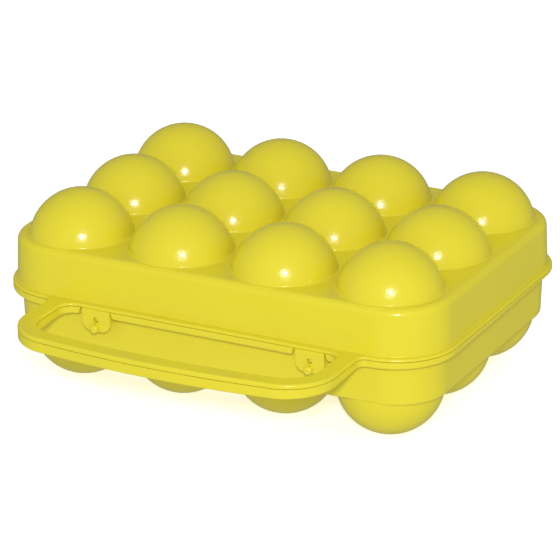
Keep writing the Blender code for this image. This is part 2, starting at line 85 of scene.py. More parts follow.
@dataclass(frozen=True)
class HolderSizes:
    """The holder's sizes: its solids', with finer rims, loop corners and tongues."""

    columns: int = 4
    rows: int = 3
    pitch_x: float = 0.0500
    pitch_y: float = 0.0466
    wall: float = 0.0015
    cup_radius: float = 0.0237
    foot_radius: float = 0.0040
    dome_radius: float = 0.0234
    cup_drop: float = 0.0198
    dome_lift: float = 0.0183
    floor_drop: float = 0.0023
    deck_lift: float = 0.0040
    wall_draft: float = 0.0006
    deck_round: float = 0.0034
    floor_round: float = 0.0016
    rim_margin_x: float = 0.0075
    rim_margin_y: float = 0.0046
    rim_corner: float = 0.0278
    lid_rim_height: float = 0.0014
    tray_rim_height: float = 0.0047
    loop_rise: float = 0.0008
    tray_rim_root: float = 0.0033
    tray_rim_back: float = 0.0011
    lid_wall_inset: float = 0.0021
    tray_wall_inset: float = 0.0042
    rim_flare: float = 0.0007
    lip_height: float = 0.0018
    lip_clearance: float = 0.0004
    parting_gap: float = 0.00020
    loop_reach: float = 0.0475
    loop_bow: float = 0.0032
    loop_width: float = 0.0082
    loop_corner: float = 0.0225
    loop_root_round: float = 0.0036
    grip_root_round: float = 0.0065
    grip_ledge: float = 0.0016
    hinge_spread: float = 0.0520
    knuckle_radius: float = 0.0030
    knuckle_length: float = 0.0110
    knuckle_neck: float = 0.0014
    knuckle_mouth: float = 80.0
    rod_radius: float = 0.0016
    run_clearance: float = 0.0003
    ear_radius: float = 0.0029
    ear_thickness: float = 0.0025
    latch_spread: float = 0.0517
    latch_width: float = 0.0137
    latch_drop: float = 0.0102
    latch_thickness: float = 0.0020
    latch_corner: float = 0.0042
    latch_side_gap: float = 0.0005
    latch_foot_gap: float = 0.0028
    stud_radius: float = 0.0011
    stud_drop: float = 0.0048
    stud_bite: float = 0.0011
    stud_clearance: float = 0.00015
    knob_radius: float = 0.0019
    knob_reach: float = 0.0026
    knob_rise: float = 0.0018
    overrun: float = 0.0010

    @property
    def grid_half_x(self) -> float:
        """Half the way between the outer columns of eggs."""
        return self.pitch_x * (self.columns - 1) / 2

    @property
    def grid_half_y(self) -> float:
        """Half the way between the outer rows of eggs."""
        return self.pitch_y * (self.rows - 1) / 2

    @property
    def rim_half_x(self) -> float:
        """Half the rim's length."""
        return self.grid_half_x + self.cup_radius + self.rim_margin_x

    @property
    def rim_half_y(self) -> float:
        """Half the rim's depth, without the loop."""
        return self.grid_half_y + self.cup_radius + self.rim_margin_y

    @property
    def hinge_offset(self) -> float:
        """How far the hinge axis lies behind the rim."""
        return self.knuckle_radius + self.run_clearance

    @property
    def grid_y(self) -> float:
        """The middle row's place in Y."""
        return (self.loop_reach - self.hinge_offset - self.knuckle_radius) / 2

    @property
    def front_y(self) -> float:
        """The rim's front line."""
        return self.grid_y - self.rim_half_y

    @property
    def back_y(self) -> float:
        """The rim's back line."""
        return self.grid_y + self.rim_half_y

    @property
    def hinge_y(self) -> float:
        """The hinge axis's place in Y."""
        return self.back_y + self.hinge_offset

    @property
    def cup_z(self) -> float:
        """The height of the cups' centres."""
        return math.sqrt(self.cup_radius ** 2 - self.foot_radius ** 2)

    @property
    def parting_z(self) -> float:
        """The height at which the two shells meet."""
        return self.cup_z + self.cup_drop

    @property
    def dome_z(self) -> float:
        """The height of the domes' centres."""
        return self.parting_z + self.dome_lift

    @property
    def deck_z(self) -> float:
        """The height of the lid's deck between the domes."""
        return self.dome_z + self.deck_lift

    @property
    def floor_z(self) -> float:
        """The height of the tray's underside between the cups."""
        return self.cup_z - self.floor_drop

    @property
    def loop_half_x(self) -> float:
        """Half the loop's width over its arms."""
        return self.rim_half_x - self.rim_corner - self.loop_root_round

    @property
    def latch_front_y(self) -> float:
        """The front face of the latch tongues."""
        return self.front_y - self.grip_ledge

    @property
    def latch_y(self) -> float:
        """The middle of the latch tongues' thickness."""
        return self.latch_front_y + self.latch_thickness / 2

    @property
    def latch_pivot_z(self) -> float:
        """The height of the latch tongues' bending line."""
        return self.parting_z - self.parting_gap / 2 - self.latch_thickness / 2

    @property
    def latch_tip_z(self) -> float:
        """The height of the latch tongues' lower edge."""
        return self.parting_z - self.latch_drop

    @property
    def stud_z(self) -> float:
        """The height of the studs' axes."""
        return self.parting_z - self.stud_drop

    @property
    def loop_sink(self) -> float:
        """How far the tray's rim rises from the loop's root to its front, which is less than nothing."""
        return self.tray_rim_root - self.tray_rim_height

    @property
    def notch_round(self) -> float:
        """The round in the inner corners of the gaps for the tongues."""
        return self.latch_thickness / 3

    @property
    def stud_tip_round(self) -> float:
        """The round at a stud's tip."""
        return self.stud_radius / 2

    @property
    def knob_tip_round(self) -> float:
        """The round at a finger knob's tip."""
        return self.knob_radius / 2


@dataclass(frozen=True)
class Fineness:
    """How finely the smooth surfaces are divided, and the small edge rounds that the solids leave out."""

    ball_segments: int = 72
    ball_rings: int = 36
    hollow_share: float = 0.75
    corner_steps: int = 24
    root_steps: int = 10
    lip_steps: int = 6
    bow_steps: int = 20
    edge_steps: int = 8
    bevel_steps: int = 5
    tongue_steps: int = 3
    ease_steps: int = 2
    small_segments: int = 32
    lid_edge_round: float = 0.0010
    tray_edge_round: float = 0.0007
    parting_round: float = 0.00025
    dome_fillet: float = 0.0009
    foot_swell: float = 0.0008
    cup_mouth_round: float = 0.0011
    hinge_round: float = 0.0003
    tongue_round: float = 0.0004
    weld: float = 0.000004
    bevel_profile: float = 0.5
    steep_normal: float = 0.5
    straight_degrees: float = 0.05
    smooth_degrees: float = 32.0
    flat_weight: int = 100


class Bench:
    """Blender's modelling operators, used as by hand."""

    @staticmethod
    def clear() -> None:
        """Deselects everything, so that an operator acts on nothing by chance."""
        bpy.ops.object.select_all(action="DESELECT")

    @staticmethod
    def take(*items: bpy.types.Object) -> None:
        """Selects only some objects and makes the first one active.

        Args:
            items: The objects.
        """
        Bench.clear()
        for item in items:
            item.select_set(True)
        bpy.context.view_layer.objects.active = items[0]

    @staticmethod
    def named(name: str) -> bpy.types.Object:
        """Names the object that was made last.

        Args:
            name: The object's name.

        Returns:
            The object.
        """
        item = bpy.context.object
        item.name = name
        return item

    @staticmethod
    def twin(item: bpy.types.Object) -> bpy.types.Object:
        """Copies an object with a mesh of its own.

        Args:
            item: The object.

        Returns:
            The copy.
        """
        Bench.take(item)
        bpy.ops.object.duplicate(linked=False)
        return bpy.context.object

    @staticmethod
    @contextmanager
    def editing(item: bpy.types.Object, kind: Kind) -> Iterator[None]:
        """Opens an object in edit mode with nothing selected, and closes it at the end.

        Args:
            item: The mesh object to edit.
            kind: The select mode to work in.
        """
        Bench.take(item)
        bpy.ops.object.mode_set(mode="EDIT")
        bpy.ops.mesh.select_mode(type=kind.value)
        bpy.ops.mesh.select_all(action="DESELECT")
        yield
        bpy.ops.object.mode_set(mode="OBJECT")

    @staticmethod
    def pick(item: bpy.types.Object, kind: Kind, test: PickTest) -> None:
        """Selects the parts of the edited mesh that pass a test.

        Args:
            item: The object in edit mode.
            kind: Which parts are tested.
            test: Says whether a part is picked.
        """
        bpy.ops.mesh.select_mode(type=kind.value)
        bpy.ops.mesh.select_all(action="DESELECT")
        shape = bmesh.from_edit_mesh(item.data)
        shape.normal_update()
        parts = {Kind.VERTS: shape.verts, Kind.EDGES: shape.edges, Kind.FACES: shape.faces}[kind]
        for part in parts:
            if test(part):
                part.select_set(True)
        bmesh.update_edit_mesh(item.data)

    @staticmethod
    def bevel(radius: float, steps: int, corners: bool = False) -> None:
        """Rounds the picked edges, or the picked corners of a flat outline.

        Args:
            radius: The round's radius.
            steps: How many stretches the round has.
            corners: Whether corners are rounded and not edges.
        """
        affect = "VERTICES" if corners else "EDGES"
        bpy.ops.mesh.bevel(offset=radius, segments=steps, profile=Fineness.bevel_profile, affect=affect)

    @staticmethod
    def extrude(rise: float) -> None:
        """Extrudes the picked parts along Z."""
        bpy.ops.mesh.extrude_region_move(TRANSFORM_OT_translate={"value": (0.0, 0.0, rise)})

    @staticmethod
    def face_outward() -> None:
        """Turns all the faces of the edited mesh outward."""
        bpy.ops.mesh.select_all(action="SELECT")
        bpy.ops.mesh.normals_make_consistent(inside=False)

    @staticmethod
    def settle(item: bpy.types.Object) -> None:
        """Puts an object's place, turn and size into its mesh."""
        Bench.take(item)
        bpy.ops.object.transform_apply(location=True, rotation=True, scale=True)

    @staticmethod
    def placed(item: bpy.types.Object, placing: Matrix) -> bpy.types.Object:
        """Moves an object by a matrix and puts that into its mesh.

        Args:
            item: The object.
            placing: Where it goes.

        Returns:
            The same object.
        """
        item.matrix_world = placing
        bpy.context.view_layer.update()
        Bench.settle(item)
        return item

    @staticmethod
    def close(item: bpy.types.Object, weld: float) -> None:
        """Merges doubled points and turns the faces outward.

        Args:
            item: The object.
            weld: How close doubled points lie.
        """
        with Bench.editing(item, Kind.VERTS):
            bpy.ops.mesh.select_all(action="SELECT")
            bpy.ops.mesh.remove_doubles(threshold=weld)
            bpy.ops.mesh.normals_make_consistent(inside=False)

    @staticmethod
    def copies(item: bpy.types.Object, places: list[Place]) -> bpy.types.Object:
        """Copies a piece to several places and joins the copies.

        Args:
            item: The piece, modelled at the origin. It is used up.
            places: Where the copies go.

        Returns:
            One object that holds all the copies.
        """
        name = item.name
        made = [Bench.placed(Bench.twin(item), Matrix.Translation(place)) for place in places]
        bpy.data.objects.remove(item, do_unlink=True)
        Bench.take(*made)
        bpy.ops.object.join()
        return Bench.named(name)

    @staticmethod
    def block(name: str, spread: Place) -> bpy.types.Object:
        """Models a box about the origin.

        Args:
            name: The new object's name.
            spread: Its sizes along X, Y and Z.

        Returns:
            The box.
        """
        Bench.clear()
        bpy.ops.mesh.primitive_cube_add(size=1.0)
        item = Bench.named(name)
        with Bench.editing(item, Kind.VERTS):
            bpy.ops.mesh.select_all(action="SELECT")
            bpy.ops.transform.resize(value=spread, center_override=ORIGIN)
        return item

    @staticmethod
    def slope(item: bpy.types.Object, test: PickTest, centre: Place, rise: float, run: float) -> None:
        """Turns the picked points a little about X, so that they rise along Y from a centre.

        Args:
            item: The object.
            test: Says whether a point is picked.
            centre: The turn's centre.
            rise: How far the points rise over the run.
            run: The run along Y, negative towards the front.
        """
        with Bench.editing(item, Kind.VERTS):
            Bench.pick(item, Kind.VERTS, test)
            # With no window a turn goes the other way, so a rise takes the opposite angle.
            angle = -math.atan(rise / run)
            bpy.ops.transform.rotate(value=angle, orient_axis="X", center_override=centre)

    @staticmethod
    def mirror(item: bpy.types.Object, weld: float) -> None:
        """Opens a half along the plane x = 0 and mirrors it to the other side.

        Args:
            item: The half, closed along the plane.
            weld: How close the two halves' points lie.
        """
        with Bench.editing(item, Kind.FACES):
            Bench.pick(item, Kind.FACES, lambda face: all(abs(vertex.co.x) < weld for vertex in face.verts))
            bpy.ops.mesh.delete(type="FACE")
        step = item.modifiers.new("mirror", "MIRROR")
        step.use_axis = (True, False, False)
        step.merge_threshold = weld
        Bench.apply(item, step)

    @staticmethod
    def apply(item: bpy.types.Object, step: bpy.types.Modifier) -> None:
        """Applies a modifier."""
        Bench.take(item)
        bpy.ops.object.modifier_apply(modifier=step.name)

    @staticmethod
    def boolean(target: bpy.types.Object, tool: bpy.types.Object, join: Join) -> None:
        """Adds a solid to another or cuts it out.

        Args:
            target: The solid that stays.
            tool: The other solid. It is used up.
            join: Whether it is added or cut out.
        """
        step = target.modifiers.new(tool.name, "BOOLEAN")
        step.operation = join.value
        step.solver = "MANIFOLD"
        step.object = tool
        Bench.apply(target, step)
        bpy.data.objects.remove(tool, do_unlink=True)

    @staticmethod
    def finish(item: bpy.types.Object, fine: Fineness) -> None:
        """Cleans a finished piece and gives it smooth shading that keeps its flats flat.

        Args:
            item: The piece.
            fine: How close doubled points lie and how sharp an edge stays.
        """
        Bench.close(item, fine.weld)
        Bench.take(item)
        bpy.ops.object.shade_smooth_by_angle(angle=math.radians(fine.smooth_degrees))
        weighted = item.modifiers.new("flats", "WEIGHTED_NORMAL")
        weighted.keep_sharp = True
        weighted.weight = fine.flat_weight
        Bench.apply(item, weighted)



class Drawing:
    """Outlines in the plane."""

    @staticmethod
    def arc(centre: Point, radius: float, start: float, end: float, steps: int) -> list[Point]:
        """Gives an arc's points.

        Args:
            centre: The arc's centre.
            radius: Its radius.
            start: Its first angle in degrees.
            end: Its last angle in degrees.
            steps: How many stretches it has.

        Returns:
            The points in order.
        """
        points = []
        for step in range(steps + 1):
            angle = math.radians(start + (end - start) * step / steps)
            points.append((centre[0] + radius * math.cos(angle), centre[1] + radius * math.sin(angle)))
        return points

    @staticmethod
    def solid(name: str, outline: list[Point], thickness: float) -> bpy.types.Object:
        """Extrudes a closed outline about its own plane.

        Args:
            name: The new object's name.
            outline: The outline's points.
            thickness: The whole thickness.

        Returns:
            The solid, centred on the plane z = 0.
        """
        curve = bpy.data.curves.new(name, "CURVE")
        curve.dimensions = "2D"
        curve.fill_mode = "BOTH"
        curve.extrude = thickness / 2
        spline = curve.splines.new("POLY")
        spline.points.add(len(outline) - 1)
        for point, place in zip(spline.points, outline):
            point.co = (place[0], place[1], 0.0, 1.0)
        spline.use_cyclic_u = True
        item = bpy.data.objects.new(name, curve)
        bpy.context.scene.collection.objects.link(item)
        Bench.take(item)
        bpy.ops.object.convert(target="MESH")
        item = bpy.context.object
        with Bench.editing(item, Kind.VERTS):
            bpy.ops.mesh.select_all(action="SELECT")
            bpy.ops.mesh.remove_doubles(threshold=Fineness.weld)
            bpy.ops.mesh.dissolve_limited(angle_limit=math.radians(Fineness.straight_degrees))
            Bench.face_outward()
        return item

    @staticmethod
    def round_face_edges(item: bpy.types.Object, height: float, radius: float, steps: int) -> None:
        """Rounds the outline of the flat face at a height along Z.

        Args:
            item: The solid, with its faces square to Z.
            height: The face's height.
            radius: The round's radius.
            steps: How many stretches the round has.
        """

        def on_outline(edge: bmesh.types.BMEdge) -> bool:
            """Says whether an edge bounds the flat face."""
            level = all(abs(vertex.co.z - height) < Fineness.weld for vertex in edge.verts)
            return level and any(abs(face.normal.z) < Fineness.steep_normal for face in edge.link_faces)

        with Bench.editing(item, Kind.EDGES):
            Bench.pick(item, Kind.EDGES, on_outline)
            Bench.bevel(radius, steps)


class Value:
    """A socket of a material's nodes, whose sums and products add Math nodes."""

    def __init__(self, graph: "Graph", socket: bpy.types.NodeSocket) -> None:
        """Keeps the socket and the graph that it belongs to."""
        self.graph = graph
        self.socket = socket

    def _maths(self, operation: str, first: "Value | float", second: "Value | float") -> "Value":
        """Adds one Math node.

        Args:
            operation: The node's operation.
            first: Its first input.
            second: Its second input.

        Returns:
            The node's result.
        """
        return self.graph.node("ShaderNodeMath", {"operation": operation}, {0: first, 1: second})["Value"]

    def __add__(self, other: "Value | float") -> "Value":
        """Adds a value."""
        return self._maths("ADD", self, other)

    def __radd__(self, other: float) -> "Value":
        """Adds this to a number."""
        return self._maths("ADD", other, self)

    def __sub__(self, other: "Value | float") -> "Value":
        """Takes a value away."""
        return self._maths("SUBTRACT", self, other)

    def __rsub__(self, other: float) -> "Value":
        """Takes this away from a number."""
        return self._maths("SUBTRACT", other, self)

    def __mul__(self, other: "Value | float") -> "Value":
        """Multiplies by a value."""
        return self._maths("MULTIPLY", self, other)

    def __rmul__(self, other: float) -> "Value":
        """Multiplies a number by this."""
        return self._maths("MULTIPLY", other, self)


class Outputs:
    """A node's outputs by name."""

    def __init__(self, graph: "Graph", node: bpy.types.Node) -> None:
        """Keeps the node and its graph."""
        self.graph = graph
        self.node = node

    def __getitem__(self, name: str | int) -> Value:
        """Gives the output of that name or number."""
        return Value(self.graph, self.node.outputs[name])


class Graph:
    """The node graph of a material or of the world."""

    def __init__(self, owner: bpy.types.Material | bpy.types.World) -> None:
        """Empties the owner's tree, which it then fills."""
        owner.use_nodes = True
        self.tree = owner.node_tree
        self.tree.nodes.clear()

    def node(
        self, kind: str, settings: dict[str, Any] | None = None, inputs: Inputs | None = None
    ) -> Outputs:
        """Adds a node.

        Args:
            kind: The node's type.
            settings: Its own settings, and a ramp's stops under the name stops.
            inputs: The values or links of its sockets.

        Returns:
            The node's outputs.
        """
        made = self.tree.nodes.new(kind)
        for name, value in (settings or {}).items():
            if name == "stops":
                for element, (place, shade) in zip(made.color_ramp.elements, value):
                    element.position = place
                    element.color = (shade, shade, shade, 1.0)
            else:
                setattr(made, name, value)
        for key, value in (inputs or {}).items():
            if isinstance(value, Value):
                self.tree.links.new(value.socket, made.inputs[key])
            else:
                made.inputs[key].default_value = value
        return Outputs(self, made)

    def noise(self, place: Value, grain: "Grain") -> Value:
        """Adds a noise.

        Args:
            place: Where on the surface it is read.
            grain: Its grain.

        Returns:
            The noise, from 0 to 1.
        """
        settings = {"noise_dimensions": "3D"}
        inputs = {"Vector": place, "Scale": grain.scale, "Detail": grain.detail, "Roughness": grain.roughness}
        return self.node("ShaderNodeTexNoise", settings, inputs)["Fac"]

    def mix_colours(self, factor: Value, first: Place, second: Place) -> Value:
        """Mixes two colours.

        Args:
            factor: The second colour's share.
            first: The first colour.
            second: The second colour.

        Returns:
            The mixed colour.
        """
        # The Mix node has the same names for each kind of value, so its colours go by number.
        inputs = {"Factor": factor, 6: (*first, 1.0), 7: (*second, 1.0)}
        return self.node("ShaderNodeMix", {"data_type": "RGBA"}, inputs)[2]

    def shade(self, shader: str, inputs: Inputs, output: str = "ShaderNodeOutputMaterial") -> None:
        """Adds the shader and leads it to the output.

        Args:
            shader: The shader node's type.
            inputs: The values or links of its sockets.
            output: The output node's type.
        """
        self.node(output, None, {"Surface": self.node(shader, None, inputs)[0]})


@dataclass(frozen=True)
class Grain:
    """The grain of one layer of noise."""

    scale: float
    detail: float
    roughness: float = 0.5


@dataclass(frozen=True)
class GlossPlastic:
    """Injection-moulded gloss plastic with flow shades, fine scuffs and an orange-peel skin."""

    name: str
    colour: Place = (0.80, 0.70, 0.036)
    deep_share: float = 0.93
    flow: Grain = Grain(16.0, 3.0, 0.55)
    roughness: float = 0.22
    scuff: Grain = Grain(260.0, 4.0, 0.7)
    scuff_turn: Place = (0.3, 0.5, 0.9)
    scuff_stretch: Place = (1.0, 0.12, 1.0)
    scuff_ramp: tuple[Point, Point] = ((0.56, 0.0), (0.80, 1.0))
    scuff_spread: float = 0.08
    handling: Grain = Grain(28.0, 2.0)
    handling_middle: float = 0.5
    handling_spread: float = 0.03
    peel: Grain = Grain(520.0, 2.0)
    peel_strength: float = 0.35
    peel_height: float = 0.00026
    refraction: float = 1.49
    shine: float = 0.42

    def material(self) -> bpy.types.Material:
        """Makes the material.

        Returns:
            The new material.
        """
        material = bpy.data.materials.new(self.name)
        graph = Graph(material)
        place = graph.node("ShaderNodeTexCoord")["Object"]
        deep = tuple(share * self.deep_share for share in self.colour)
        colour = graph.mix_colours(graph.noise(place, self.flow), deep, self.colour)
        turn = {"Vector": place, "Rotation": self.scuff_turn, "Scale": self.scuff_stretch}
        stretched = graph.node("ShaderNodeMapping", {"vector_type": "POINT"}, turn)["Vector"]
        scuffs = {"Fac": graph.noise(stretched, self.scuff)}
        worn = graph.node("ShaderNodeValToRGB", {"stops": self.scuff_ramp}, scuffs)["Color"]
        handled = graph.noise(place, self.handling)
        roughness = self.roughness + worn * handled * self.scuff_spread
        roughness = roughness + (handled - self.handling_middle) * self.handling_spread
        height = graph.noise(place, self.peel)
        skin = {"Strength": self.peel_strength, "Distance": self.peel_height, "Height": height}
        inputs = {
            "Base Color": colour,
            "Roughness": roughness,
            "Normal": graph.node("ShaderNodeBump", None, skin)["Normal"],
            "Metallic": 0.0,
            "IOR": self.refraction,
            "Specular IOR Level": self.shine,
        }
        graph.shade("ShaderNodeBsdfPrincipled", inputs)
        return material


@dataclass
class Moulding:
    """What the lid, the tray and the tongues have in common."""

    finish: GlossPlastic
    sizes: HolderSizes = HolderSizes()
    fine: Fineness = Fineness()

    def dress(self, piece: bpy.types.Object, body: str, slot: str) -> None:
        """Gives a piece its finish and its body, and hides the CAD part that it stands for.

        Args:
            piece: The finished piece.
            body: The body that it rides on, which is also its node's name.
            slot: Not used.
        """
        piece.data.materials.clear()
        piece.data.materials.append(self.finish.material())
        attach(piece, body)
        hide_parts(body)


    def slab(self, name: str, sections: list[Point], upward: bool) -> bpy.types.Object:
        """Models a rounded block from a plane, section by section.

        Args:
            name: The new object's name.
            sections: Insets from the rim and heights, the widest section first.
            upward: Whether the sections go up.

        Returns:
            The closed block.
        """
        sizes = self.sizes
        inset, height = sections[0]
        centre = (0.0, sizes.grid_y, height)
        Bench.clear()
        # A plane of 2 reaches 1 to each side, so half sizes scale it.
        bpy.ops.mesh.primitive_plane_add(size=2.0, location=centre)
        item = Bench.named(name)
        Bench.settle(item)
        with Bench.editing(item, Kind.VERTS):
            bpy.ops.mesh.select_all(action="SELECT")
            spread = (sizes.rim_half_x - inset, sizes.rim_half_y - inset, 1.0)
            bpy.ops.transform.resize(value=spread, center_override=centre)
            Bench.bevel(sizes.rim_corner - inset, self.fine.corner_steps, corners=True)
            if not upward:
                bpy.ops.mesh.flip_normals()
            bpy.ops.mesh.select_mode(type="FACE")
            bpy.ops.mesh.select_all(action="SELECT")
            for before, after in zip(sections, sections[1:]):
                thickness = after[0] - before[0]
                rise = after[1] - before[1]
                if thickness < self.fine.weld:
                    Bench.extrude(rise)
                else:
                    bpy.ops.mesh.inset(thickness=thickness, depth=abs(rise), use_even_offset=True)
            Bench.pick(item, Kind.EDGES, lambda edge: edge.is_boundary)
            bpy.ops.mesh.edge_face_add()
            Bench.face_outward()
        return item

    def edge_sections(self, inset: float, height: float, radius: float, upward: bool) -> list[Point]:
        """Gives the sections of a rounded edge, from its wall to its flat.

        Args:
            inset: The wall's inset from the rim.
            height: The flat's height.
            radius: The edge's radius.
            upward: Whether the flat looks up.

        Returns:
            Insets and heights, the widest first.
        """
        side = 1 if upward else -1
        sections = []
        for step in range(self.fine.edge_steps + 1):
            angle = math.pi / 2 * step / self.fine.edge_steps
            drop = radius * (1 - math.sin(angle))
            sections.append((inset + radius * (1 - math.cos(angle)), height - side * drop))
        return sections

    def ball_cap(
        self, name: str, radius: float, skirt: list[Point], flat: float = 0.0, fine_share: float = 1.0
    ) -> bpy.types.Object:
        """Models the upper cap of a ball, with a turned skirt below it.

        Args:
            name: The new object's name.
            radius: The ball's radius, about the origin.
            skirt: Radii and heights of the rings under the cap, the first on the ball.
            flat: The radius of the flat on the ball's top, or zero.
            fine_share: The share of the full fineness that the ball gets.

        Returns:
            The closed cap at the origin.
        """
        segments = round(self.fine.ball_segments * fine_share)
        rings = round(self.fine.ball_rings * fine_share)
        Bench.clear()
        bpy.ops.mesh.primitive_uv_sphere_add(segments=segments, ring_count=rings, radius=radius)
        item = Bench.named(name)
        start = skirt[0][1]
        with Bench.editing(item, Kind.FACES):
            bpy.ops.mesh.select_all(action="SELECT")
            bpy.ops.mesh.bisect(plane_co=(0.0, 0.0, start), plane_no=UP, clear_inner=True)
            if flat > 0.0:
                top = math.sqrt(radius ** 2 - flat ** 2)
                bpy.ops.mesh.select_all(action="SELECT")
                bpy.ops.mesh.bisect(plane_co=(0.0, 0.0, top), plane_no=UP, use_fill=True, clear_outer=True)
            middle = (start + radius / 2) / 2
            Bench.pick(item, Kind.EDGES, lambda edge: edge.is_boundary and edge.verts[0].co.z < middle)
            for before, after in zip(skirt, skirt[1:]):
                Bench.extrude(after[1] - before[1])
                spread = after[0] / before[0]
                centre = (0.0, 0.0, after[1])
                bpy.ops.transform.resize(value=(spread, spread, 1.0), center_override=centre)
            bpy.ops.mesh.edge_face_add()
            Bench.face_outward()
        return item

    @staticmethod
    def fillet_centre(ball_radius: float, level: float, fillet: float) -> Point:
        """Gives the centre of the fillet between a ball and the flat that it rises from.

        Args:
            ball_radius: The ball's radius.
            level: The flat's height over the ball's centre.
            fillet: The fillet's radius.

        Returns:
            The centre's radius and height.
        """
        height = level + fillet
        return (math.sqrt((ball_radius + fillet) ** 2 - height ** 2), height)

    def foot_arc(self, centre: Point, radius: float) -> list[Point]:
        """Gives an arc about a fillet's centre, from the ball to the flat.

        Args:
            centre: The fillet's centre.
            radius: The arc's radius.

        Returns:
            Radii and heights.
        """
        start = 180 + math.degrees(math.atan2(centre[1], centre[0]))
        return Drawing.arc(centre, radius, start, 270, self.fine.edge_steps)

    def hollow_skirt(self, centre: Point, radius: float) -> list[Point]:
        """Gives a hollow's mouth, which runs on past the flat to cut it cleanly.

        Args:
            centre: The fillet's centre.
            radius: The mouth's round.

        Returns:
            Radii and heights.
        """
        skirt = self.foot_arc(centre, radius)
        low = skirt[-1][1] - self.fine.weld
        return skirt[:-1] + [(centre[0], low), (centre[0], low - self.sizes.overrun)]

    def egg_places(self, odd: int, height: float) -> list[Place]:
        """Gives every other egg's place in a chequered order, so that no two of a set touch.

        Args:
            odd: 0 for the first set and 1 for the second.
            height: The height of the places.

        Returns:
            The places.
        """
        sizes = self.sizes
        places = []
        for row in range(sizes.rows):
            for column in range(sizes.columns):
                if (row + column) % 2 == odd:
                    x = column * sizes.pitch_x - sizes.grid_half_x
                    y = sizes.grid_y + row * sizes.pitch_y - sizes.grid_half_y
                    places.append((x, y, height))
        return places

    def combine_balls(
        self, target: bpy.types.Object, cap: bpy.types.Object, height: float, join: Join
    ) -> None:
        """Adds or cuts a ball cap at all twelve eggs, in two chequered sets.

        Args:
            target: The shell.
            cap: The cap, at the origin. It is used up.
            height: The height of the balls' centres.
            join: Whether they are added or cut.
        """
        for odd, piece in enumerate((cap, Bench.twin(cap))):
            Bench.boolean(target, Bench.copies(piece, self.egg_places(odd, height)), join)

    def loop_run(self, inset: float) -> list[Point]:
        """Gives the carrying loop's line from the left arm round to the right.

        Args:
            inset: How far the line lies inside the loop's outer side.

        Returns:
            The line's points.
        """
        sizes = self.sizes
        half = sizes.loop_half_x - inset
        corner = max(sizes.loop_corner - inset, sizes.loop_root_round)
        front = sizes.front_y - sizes.loop_reach + sizes.loop_bow + inset
        reach = half - corner
        steps = self.fine.corner_steps
        points = Drawing.arc((-reach, front + corner), corner, 180, 270, steps)
        for step in range(1, self.fine.bow_steps):
            share = 2 * step / self.fine.bow_steps - 1
            points.append((share * reach, front - sizes.loop_bow * (1 - share ** 2)))
        return points + Drawing.arc((reach, front + corner), corner, 270, 360, steps)

    def rim_half(self) -> list[Point]:
        """Gives the outline of a rim's right half, with its half of the loop and the finger gap left out.

        Returns:
            The outline's points, from the loop's front round the rim and back through the finger gap.
        """
        sizes = self.sizes
        corner = sizes.rim_corner
        reach_x = sizes.rim_half_x - corner
        root = sizes.loop_root_round
        grip_root = sizes.grip_root_round
        grip_half = sizes.loop_half_x - sizes.loop_width
        ledge_y = sizes.front_y - sizes.grip_ledge
        steps = self.fine.corner_steps
        points = [point for point in self.loop_run(0.0) if point[0] > -self.fine.weld]
        points += Drawing.arc((reach_x, sizes.front_y - root), root, 180, 90, self.fine.root_steps)[:-1]
        points += Drawing.arc((reach_x, sizes.front_y + corner), corner, -90, 0, steps)
        points += Drawing.arc((reach_x, sizes.back_y - corner), corner, 0, 90, steps)
        points += [(0.0, sizes.back_y), (0.0, ledge_y)]
        grip_centre = (grip_half - grip_root, ledge_y - grip_root)
        points += Drawing.arc(grip_centre, grip_root, 90, 0, self.fine.root_steps)
        inner = [point for point in self.loop_run(sizes.loop_width) if point[0] > -self.fine.weld]
        return points + inner[::-1]

    def rim_plate(
        self, name: str, low: float, high: float, rounded: float, radius: float
    ) -> bpy.types.Object:
        """Models a rim with its half of the loop, rounded outside and barely eased at the parting.

        Args:
            name: The new object's name.
            low: Its lower face.
            high: Its upper face.
            rounded: The height of the face with the large round.
            radius: That round's radius.

        Returns:
            The plate in its place.
        """
        item = Drawing.solid(name, self.rim_half(), high - low)
        Bench.mirror(item, self.fine.weld)
        Bench.placed(item, Matrix.Translation((0.0, 0.0, (low + high) / 2)))
        Drawing.round_face_edges(item, rounded, radius, self.fine.bevel_steps)
        parting = high if rounded == low else low
        Drawing.round_face_edges(item, parting, self.fine.parting_round, self.fine.ease_steps)
        return item

    @property
    def root_y(self) -> float:
        """Y where the loop leaves the body's rim."""
        return self.sizes.front_y - self.sizes.grip_ledge / 2

    def cut_root(self, rim: bpy.types.Object) -> None:
        """Cuts a rim's faces along the loop's root, so that it can slope from there.

        Args:
            rim: The rim with its half of the loop.
        """
        with Bench.editing(rim, Kind.FACES):
            bpy.ops.mesh.select_all(action="SELECT")
            bpy.ops.mesh.bisect(plane_co=(0.0, self.root_y, 0.0), plane_no=BACK)

    def slope_loop(self, item: bpy.types.Object, low: float, high: float, rise: float) -> None:
        """Slopes the loop's points between two heights from its root to its front.

        Args:
            item: The object, a rim or the groove in it.
            low: Height above which points move.
            high: Height below which points move.
            rise: How far the loop's front rises, negative to sink.
        """
        root = self.root_y

        def on_loop(vertex: bmesh.types.BMVert) -> bool:
            """Says whether a point lies on the loop and between the heights."""
            return vertex.co.y < root - self.fine.weld and low < vertex.co.z < high

        run = self.sizes.front_y - self.sizes.loop_reach - root
        Bench.slope(item, on_loop, (0.0, root, (low + high) / 2), rise, run)

    def along_x(self, x: float) -> Matrix:
        """Places an outline drawn in Y and Z at the hinge axis, extruded along X.

        Args:
            x: The middle along X.

        Returns:
            The placing.
        """
        y = self.sizes.hinge_y
        z = self.sizes.parting_z
        return Matrix(((0.0, 0.0, 1.0, x), (1.0, 0.0, 0.0, y), (0.0, 1.0, 0.0, z), (0.0, 0.0, 0.0, 1.0)))

